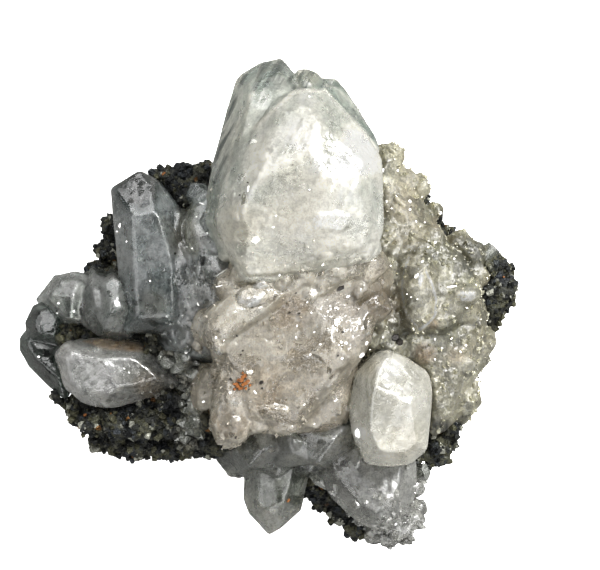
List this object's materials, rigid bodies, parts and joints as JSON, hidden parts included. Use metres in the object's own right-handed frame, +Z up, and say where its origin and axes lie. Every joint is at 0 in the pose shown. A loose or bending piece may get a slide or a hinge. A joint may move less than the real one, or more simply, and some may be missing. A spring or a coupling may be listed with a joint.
{
  "type": "anglesite specimen",
  "caption": "Mineral specimen: milky and clear blocky crystals with small-crystal crusts, grown on a slab of dark granular ore that rests on its flat broken back.",
  "frame": {"origin": "middle of the bounding box in X and Y, at the flat back of the ore slab, which is what the specimen rests on", "axes": "+Z up, out of the slab towards the crystals; +Y towards the tallest crystals; +X to the right when seen from above with +Y away"},
  "size_m": [0.0624, 0.0608, 0.0313],
  "materials": {
    "milky_crystal": "satin",
    "grey_crystal": "satin",
    "crust_crystal": "satin",
    "ore_matrix": "satin"
  },
  "bodies": {
    "root": {"matrix": "ore_matrix", "main_crystal": "milky_crystal", "central_crystal": "milky_crystal", "lower_right_crystal": "milky_crystal", "right_crust": "crust_crystal", "left_crystals": "grey_crystal", "small_left_crystals": "grey_crystal", "lower_left_crystal": "milky_crystal", "far_left_crystals": "grey_crystal", "bottom_left_crystal": "grey_crystal", "bottom_right_crystal": "grey_crystal"}
  },
  "joints": []
}
